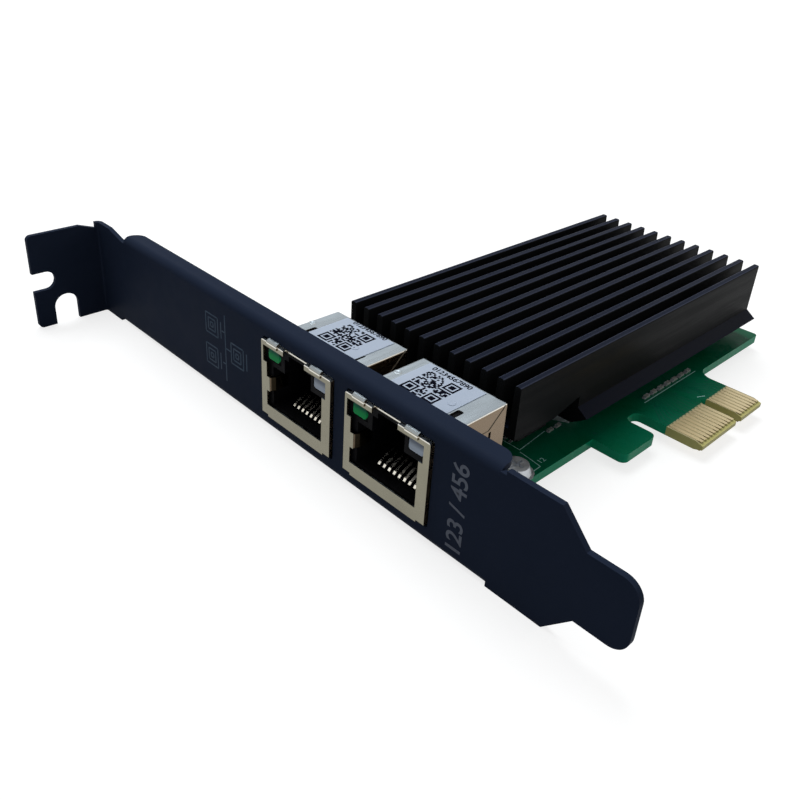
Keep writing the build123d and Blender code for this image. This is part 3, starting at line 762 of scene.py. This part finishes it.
@dataclass
class BracketMarks:
    """Printed port pictogram and plain figures on the bracket's front.

    Places are height across the sheet, then length. Each square has a ring and core inside and a foot below.
    """

    line: float = 0.26
    rise: float = 0.012
    squares: tuple[Segment, ...] = ((10.5, 14.1, 78.9, 82.4), (4.6, 8.3, 79.2, 82.6), (7.5, 11.2, 71.8, 75.2))
    joins: tuple[Segment, ...] = (
        (3.3, 76.8, 15.45, 76.8), (12.3, 76.8, 12.3, 77.7), (6.5, 76.8, 6.5, 77.7), (9.5, 75.3, 9.5, 76.8))
    ring: Pair = (1.05, 1.0)
    core: Pair = (0.4, 0.4)
    foot: Pair = (0.3, 0.9)
    words: str = "123 / 456"
    words_at: Pair = (2.0, 24.3)
    words_size: float = 2.65
    words_length: float = 13.7
    words_bold: float = 0.014

    @staticmethod
    def outline(low_z: float, high_z: float, low_y: float, high_y: float) -> list[Segment]:
        """Four sides of one rectangle as segments."""
        return [(low_z, low_y, high_z, low_y), (high_z, low_y, high_z, high_y), (high_z, high_y, low_z, high_y),
                (low_z, high_y, low_z, low_y)]

    def build(self) -> None:
        """Makes the pictogram's lines and the figures."""
        segments = list(self.joins)
        inset, drop = self.foot
        for z0, z1, y0, y1 in self.squares:
            z, y = (z0 + z1) / 2, (y0 + y1) / 2
            segments += self.outline(z0, z1, y0, y1)
            for half_z, half_y in (self.ring, self.core):
                segments += self.outline(z - half_z, z + half_z, y - half_y, y + half_y)
            segments.append((z0 + inset, y0 - drop, z1 - inset, y0 - drop))
        lines, sheet = np.array(segments), Face.BRACKET_FRONT.value
        drawn = bars(sheet, lines[:, :2], lines[:, 2:], self.line, self.rise)
        piece("bracket_pictogram", [drawn], Look.PRINT_GREY)
        row = figures(sheet, self.words, self.words_at, self.words_size, self.words_length, self.words_bold)
        piece("bracket_figures", [row], Look.PRINT_WORD)


@dataclass
class JackLabel:
    """Printed marks of one label: a block pattern that stands for no code, and a row of plain figures.

    Two dimples lie beside them, one on the label and one on the shield.
    The low x, high y and side place the pattern, the row's x and y the figures, all in datum millimetres.
    """

    number: int
    low_x: float
    high_y: float
    side: float
    row_x: float
    row_y: float
    dimples: tuple[Pair, ...]
    modules: int = 21
    mark: int = 7
    seed: int = 40
    fill: float = 0.56
    overlap: float = 0.07
    rise: float = 0.008
    row_text: str = "01234567890"
    row_size: float = 0.95
    row_length: float = 7.4
    row_bold: float = 0.02
    dish: tuple[Pair, ...] = ((0.0, -0.06), (0.66, -0.06), (0.6, 0.05), (0.46, 0.08), (0.24, 0.0), (0.0, -0.02))

    def pattern(self) -> np.ndarray:
        """Dark cells of a seeded random grid, with a square mark in three corners and a clear rim round each."""
        rng = np.random.default_rng(self.seed + self.number)
        cells = rng.random((self.modules, self.modules)) < self.fill
        mark = np.ones((self.mark, self.mark), bool)
        mark[1:-1, 1:-1] = False
        mark[2:-2, 2:-2] = True
        last = self.modules - self.mark
        for row, column in ((0, 0), (0, 1), (1, 1)):
            top, left = row * last, column * last
            cells[max(top - 1, 0):top + self.mark + 1, max(left - 1, 0):left + self.mark + 1] = False
            cells[top:top + self.mark, left:left + self.mark] = mark
        return cells

    def build(self) -> None:
        """Makes the pattern's cells as bars one cell wide, the figures and the dimples."""
        step = self.side / self.modules
        along, across = np.nonzero(self.pattern().T)
        start = np.stack([-self.high_y + along * step, self.low_x + (across + 0.5) * step], 1)
        sheet, more = Face.LABEL.value, self.overlap
        left, right = start - (step * more, 0.0), start + (step * (1 + more), 0.0)
        cells = bars(sheet, left, right, step * (1 + 2 * more), self.rise)
        piece(f"jack_{self.number}_label_blocks", [cells], Look.PRINT_DARK)
        row = figures(sheet, self.row_text, (-self.row_y, self.row_x), self.row_size, self.row_length,
                      self.row_bold)
        piece(f"jack_{self.number}_label_figures", [row], Look.PRINT_DARK)
        for name, face, look, place in zip(("shield_dimple", "label_dimple"), (Face.SHIELD_TOP, Face.LABEL),
                                           (Look.SHIELD, Look.PAPER), self.dimples):
            spot = np.array([place]) * (-1.0, 1.0)
            piece(f"jack_{self.number}_{name}", [turned(face.value, spot, self.dish, 28)], look, smooth=True)


@dataclass
class BoardMarks:
    """Legend lines, tracks under the mask and plated holes on both faces of the board.

    A line is width and rise, a ring outer and inner radius, and a size height and length, all in millimetres.
    """

    legend: tuple[Segment, ...] = (
        (22.2, 28.5, 22.7, 32.7), (22.2, 28.5, 18.3, 28.3), (23.1, 33.1, 30.2, 33.8), (23.1, 33.1, 23.1, 65.0),
        (59.4, 23.4, 60.85, 22.7), (50.4, 28.2, 67.6, 28.2), (51.0, 66.1, 58.7, 66.1), (51.0, 70.7, 58.7, 70.7),
        (60.6, 66.2, 66.4, 66.2), (60.6, 70.6, 66.4, 70.6), (68.8, 65.8, 81.2, 65.8), (28.4, 70.3, 46.6, 70.3))
    legend_back: tuple[Segment, ...] = (
        (45.0, 37.0, 67.0, 37.0), (67.0, 37.0, 67.0, 59.0), (67.0, 59.0, 45.0, 59.0), (45.0, 59.0, 45.0, 37.0),
        (4.0, 47.2, 15.0, 47.2), (4.0, 49.3, 15.0, 49.3), (15.0, 30.2, 15.0, 47.2), (15.0, 49.3, 15.0, 66.4))
    pad_x: tuple[float, ...] = (*(KEY_X - 11.5 + k for k in range(11)), *(KEY_X + 1.5 + k for k in range(7)))
    bends: Triple = (21.7, 23.4, 26.6)
    gather_x: float = 56.0
    legend_line: Pair = (0.15, 0.014)
    legend_size: Pair = (0.9, 1.2)
    track_line: Pair = (0.2, 0.01)
    ring: Pair = (0.3, 0.12)
    ring_rise: float = 0.014
    ring_sides: int = 14
    heat_ring: Pair = (0.32, 0.14)
    screw_ring: Pair = (2.75, 2.35)
    test_point: tuple[Pair, ...] = ((0.0, 0.0), (0.55, 0.0), (0.5, 0.03), (0.0, 0.04))
    clear_of: Pair = (57.5, 13.5)
    screws: tuple[Pair, ...] = ((18.4, 30.1), (18.4, 68.6))
    jacks: Pair = (58.0, 38.57)
    leg: Pair = (8.6, 8.02)
    dome: tuple[Pair, ...] = ((0.0, 0.0), (1.15, 0.0), (0.85, 0.12), (0.62, 0.32), (0.42, 0.42), (0.0, 0.46))

    def tracks(self, gather: float, reach: float) -> np.ndarray:
        """Three runs for each finger pad: straight up, slanting together, then straight on.

        Args:
            gather: How close they come, as a part of the pads' own pitch.
            reach: The y where they end.

        Returns:
            Segments as rows of x, y, x, y.
        """
        x = np.array(self.pad_x)
        near = self.gather_x + (x - self.gather_x) * gather
        rises = (*self.bends, reach)
        path = np.stack([np.stack([a, np.full_like(x, b)], 1) for a, b in zip((x, x, near, near), rises)], 1)
        return np.concatenate([path[:, :-1], path[:, 1:]], 2).reshape(-1, 4)

    def holes(self, sheet: Sheet, places: np.ndarray, outer: float, inner: float) -> Shape:
        """Flat plated rings, turned from a low rectangle."""
        rise = self.ring_rise
        return turned(sheet, places, [(inner, 0.0), (outer, 0.0), (outer, rise), (inner, rise)], self.ring_sides)

    def print_legends(self) -> None:
        """Makes the outlines and the plain figures on each face."""
        for face, lines, name, words, place in (
                (Face.BOARD_TOP, self.legend, "board_legend_top", "12", (23.0, 28.9)),
                (Face.BOARD_BACK, self.legend_back, "board_legend_back", "34", (70.0, 33.0))):
            rows = np.array(lines)
            outlines = bars(face.value, rows[:, :2], rows[:, 2:], *self.legend_line)
            piece(name, [outlines, figures(face.value, words, place, *self.legend_size)], Look.SILK)

    def run_tracks(self) -> None:
        """Makes the tracks on each face, with small rings among them and along the lower edge."""
        among = np.stack([np.linspace(49.0, 66.0, 9), np.tile([24.6, 26.4, 25.2], 3)], 1)
        edge = np.stack([np.linspace(36.0, 88.0, 27), np.full(27, 28.35)], 1)
        middle, half = self.clear_of
        spots = np.concatenate([among, edge[np.abs(edge[:, 0] - middle) > half]])
        for face, name, gather, reach in ((Face.BOARD_TOP, "board_tracks_top", 0.62, 39.0),
                                          (Face.BOARD_BACK, "board_tracks_back", 0.75, 30.0)):
            runs = self.tracks(gather, reach)
            lines = bars(face.value, runs[:, :2], runs[:, 2:], *self.track_line)
            piece(name, [lines, self.holes(face.value, spots, *self.ring)], Look.TRACE)

    def build(self) -> None:
        """Makes every mark of both faces."""
        self.print_legends()
        self.run_tracks()
        back = Face.BOARD_BACK.value
        grid = np.stack(np.meshgrid(np.linspace(50.5, 61.5, 8), np.linspace(42.5, 53.5, 8)), -1).reshape(-1, 2)
        tests = np.stack([np.tile(np.linspace(72.0, 86.0, 6), 2), np.repeat([64.0, 67.0], 6)], 1)
        points = turned(back, tests, self.test_point, 16)
        piece("board_heat_holes", [self.holes(back, grid, *self.heat_ring), points], Look.SOLDER)
        rings = self.holes(Face.BOARD_TOP.value, np.array(self.screws), *self.screw_ring)
        piece("screw_hole_rings", [rings], Look.SOLDER)
        legs = np.array([(self.leg[0], middle + way * self.leg[1]) for middle in self.jacks for way in (-1, 1)])
        piece("shield_leg_solder", [turned(back, legs, self.dome, 20)], Look.SOLDER, smooth=True)


@dataclass
class SmallParts:
    """Tinned ends, solder slopes and leads of the small parts.

    Each group is x, y, half length, half width and height. The flash chip's leads stand in two columns.
    """

    groups: tuple[tuple[tuple[float, ...], tuple[float, ...], float, float, float], ...] = (
        (tuple(52.3 + 2.3 * k for k in range(7)), (29.05,) * 7, 0.6, 0.3, 0.45),
        ((31.0, 33.0), (33.35, 33.35), 0.5, 0.25, 0.4),
        (tuple(30.0 + 3.0 * k for k in range(6)), (69.025,) * 6, 1.0, 0.625, 1.1),
        ((44.5, 44.5, 68.5, 68.5, 68.5, 68.5), (41.0, 43.5, 43.0, 46.0, 49.0, 52.0), 0.8, 0.4, 0.8),
    )
    growth: float = 0.02
    covered: float = 0.55
    slope: Pair = (0.5, 0.6)
    lead_x: Pair = (52.4, 57.3)
    lead_y: tuple[float, ...] = tuple(67.1 + 0.9 * k for k in range(4))
    lead_reach: Pair = (0.45, 0.95)
    lead_width: float = 0.38
    lead_falls: Triple = (0.78, 0.2, 0.16)

    def ends(self) -> list[Shape]:
        """Both ends of each part in each group: a cap over the end, then a slope down to the board."""
        top = Face.BOARD_TOP.value
        long, high = self.slope
        shapes = []
        for xs, ys, half, side, height in self.groups:
            centres = np.stack([xs, ys], 1)
            for way in (-1, 1):
                outer = centres + (way * (half + self.growth), 0.0)
                inner = centres + (way * half * self.covered, 0.0)
                shapes.append(bars(top, inner, outer, 2 * (side + self.growth), height + self.growth))
                foot = outer + (way * half * long, 0.0)
                shapes.append(bars(top, outer, foot, 2 * side, height * high, tail=0.01))
        return shapes

    def build(self) -> None:
        """Makes every group's ends as one piece, and the flash chip's leads, which slope and then lie flat."""
        top = Face.BOARD_TOP.value
        piece("small_part_ends", self.ends(), Look.SOLDER)
        rows = np.array([(x, y) for x in self.lead_x for y in self.lead_y])
        way = np.where(rows[:, :1] == self.lead_x[0], -1.0, 1.0) * np.array([[1.0, 0.0]])
        bend, tip = (rows + way * reach for reach in self.lead_reach)
        high, low, flat = self.lead_falls
        slopes = bars(top, rows, bend, self.lead_width, high, tail=low)
        piece("flash_leads", [slopes, bars(top, bend, tip, self.lead_width, flat)], Look.SOLDER)


# Studio
def stand(right: object, up: object, back: object, place: object) -> Matrix:
    """A placement whose columns are the directions to the right, up and back, and the place in metres."""
    turn = np.eye(4)
    turn[:3] = np.array([right, up, back, place]).T
    return Matrix(turn.tolist())


@dataclass(frozen=True)
class Lamp:
    """One soft rectangular lamp: where it hangs and what it faces in metres, its two sides, watts and colour."""

    name: str
    place: Triple
    aim: Triple
    size: Pair
    power: float
    tint: Colour

    def build(self) -> None:
        """Hangs the lamp with its right side level and its back away from what it faces."""
        data = bpy.data.lights.new(self.name, "AREA")
        data.shape, data.size, data.size_y = "RECTANGLE", *self.size
        data.energy, data.color = self.power, self.tint
        made = bpy.data.objects.new(self.name, data)
        bpy.context.scene.collection.objects.link(made)
        back = np.array(self.place) - np.array(self.aim)
        back /= np.linalg.norm(back)
        right = np.cross((0.0, 0.0, 1.0), back)
        right /= np.linalg.norm(right)
        made.matrix_world = stand(right, np.cross(back, right), back, self.place)


LAMPS = (
    Lamp("top_lamp", (0.05, 0.3, 0.6), (0.0, 0.03, 0.0), (0.5, 0.4), 3.2, (0.94, 0.98, 1.0)),
    Lamp("end_lamp", (0.6, -0.35, 0.3), (0.0, 0.02, 0.0), (0.3, 0.3), 0.5, (1.0, 0.9, 0.78)),
    Lamp("front_strip", (-0.5, 0.1, 0.45), (-0.05, 0.04, 0.0), (0.5, 0.04), 0.06, (0.75, 0.75, 1.0)),
)


@dataclass(frozen=True)
class Studio:
    """Pale floor, soft light and the photograph's viewpoint.

    The floor's glow goes from its third number to its fourth between the first and second distances in metres.
    """

    place: Triple = (-0.12462513, -0.04167701, 0.07380692)
    right: Triple = (0.72313924, -0.68851789, 0.05488863)
    up: Triple = (0.28981612, 0.37460077, 0.88072747)
    back: Triple = (-0.62695794, -0.62098099, 0.47043209)
    lens: float = 37.677
    shift: Pair = (0.00967, -0.07311)
    floor_z: float = -0.00234
    floor_grey: float = 0.34
    floor_rough: float = 0.9
    floor_glow: Segment = (0.2, 1.2, 0.77, 1.0)
    radii: tuple[float, ...] = (0.02, 0.1, 0.4, 1.5, 6.0)
    steps: int = 64
    sky_light: float = 0.25

    def camera(self) -> None:
        """Sets the solved camera."""
        data = bpy.data.cameras.new("camera")
        data.sensor_width, data.lens, data.clip_start = 36.0, self.lens, 0.005
        data.shift_x, data.shift_y = self.shift
        made = bpy.data.objects.new("camera", data)
        bpy.context.scene.collection.objects.link(made)
        made.matrix_world = stand(self.right, self.up, self.back, self.place)
        bpy.context.scene.camera = made

    def floor_mesh(self) -> bpy.types.Mesh:
        """A disc of rings: point (i, j) is radius i in the direction of angle j, and the middle is one face."""
        radii, steps = np.array(self.radii)[:, None], self.steps
        angle = np.linspace(0, 2 * np.pi, steps, endpoint=False)
        ring = np.stack(np.broadcast_arrays(radii * np.cos(angle), radii * np.sin(angle), self.floor_z), -1)
        i, j = np.meshgrid(np.arange(len(radii) - 1), np.arange(steps), indexing="ij")
        on = (j + 1) % steps
        quads = np.stack([i * steps + j, (i + 1) * steps + j, (i + 1) * steps + on, i * steps + on], -1)
        mesh = bpy.data.meshes.new("floor")
        mesh.from_pydata(ring.reshape(-1, 3).tolist(), [], quads.reshape(-1, 4).tolist() + [list(range(steps))])
        return mesh

    def floor(self) -> None:
        """A pale disc that looks white and keeps the shadow."""
        mesh = self.floor_mesh()
        material = bpy.data.materials.new("floor")
        material.use_nodes = True
        tree = Tree(material.node_tree)
        shader = material.node_tree.nodes["Principled BSDF"]
        tree.feed(shader.inputs["Base Color"], (self.floor_grey,) * 3)
        shader.inputs["Roughness"].default_value = self.floor_rough
        tree.feed(shader.inputs["Emission Color"], (1.0, 1.0, 1.0))
        far = tree.node("ShaderNodeVectorMath", operation="LENGTH")
        tree.feed(far.inputs[0], tree.node("ShaderNodeTexCoord").outputs["Object"])
        glow = tree.math("MULTIPLY", tree.shown_background(), tree.span(far.outputs["Value"], *self.floor_glow))
        tree.feed(shader.inputs["Emission Strength"], glow)
        mesh.materials.append(material)
        made = bpy.data.objects.new("floor", mesh)
        bpy.context.scene.collection.objects.link(made)

    def sky(self) -> None:
        """An even white world that shows in full and lights the card with a part of its strength."""
        world = bpy.data.worlds.new("studio")
        bpy.context.scene.world = world
        world.use_nodes = True
        tree = Tree(world.node_tree)
        sky = world.node_tree.nodes["Background"]
        tree.feed(sky.inputs["Color"], (1.0, 1.0, 1.0))
        tree.feed(sky.inputs["Strength"], tree.span(tree.shown_background(), 0.0, 1.0, self.sky_light, 1.0))

    def build(self) -> None:
        """Makes camera, floor, lamps and sky, and sets the plain view transform.

        One lamp hangs overhead and behind, a weak warm one at the far end, and a thin cool one in front.
        """
        self.camera()
        self.floor()
        for lamp in LAMPS:
            lamp.build()
        self.sky()
        bpy.context.scene.view_settings.view_transform = "Standard"


@dataclass
class Card:
    """The whole card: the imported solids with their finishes, and the marks and small parts on them."""

    nodes: dict[str, bpy.types.Object]
    marks: list[Marks] = field(default_factory=lambda: [
        BracketMarks(),
        JackLabel(1, 6.5, 61.45, 6.4, 13.55, 61.3, ((65.3, 8.7), (54.9, 8.5))),
        JackLabel(2, 6.2, 43.1, 6.3, 13.0, 43.4, ((45.9, 8.7), (35.2, 8.5))),
        BoardMarks(),
        SmallParts(),
    ])

    def dress(self) -> None:
        """Gives every node its finish."""
        looks = dict(NODE_LOOKS)
        for number in (1, 2):
            looks.update({f"jack_{number}_{part}": look for part, look in JACK_LOOKS.items()})
        for name, shown in self.nodes.items():
            shown.data.materials.clear()
            shown.data.materials.append(looks[name].value.build())
            LOG.info("%s has finish %s", name, looks[name].value.name)

    def build(self) -> None:
        """Dresses the nodes and makes the marks."""
        self.dress()
        for mark in self.marks:
            mark.build()


def main() -> None:
    """Builds the card and its studio."""
    logging.basicConfig(level=logging.INFO)
    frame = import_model()
    Card(frame["nodes"]).build()
    Studio().build()


if __name__ == "__main__":
    main()
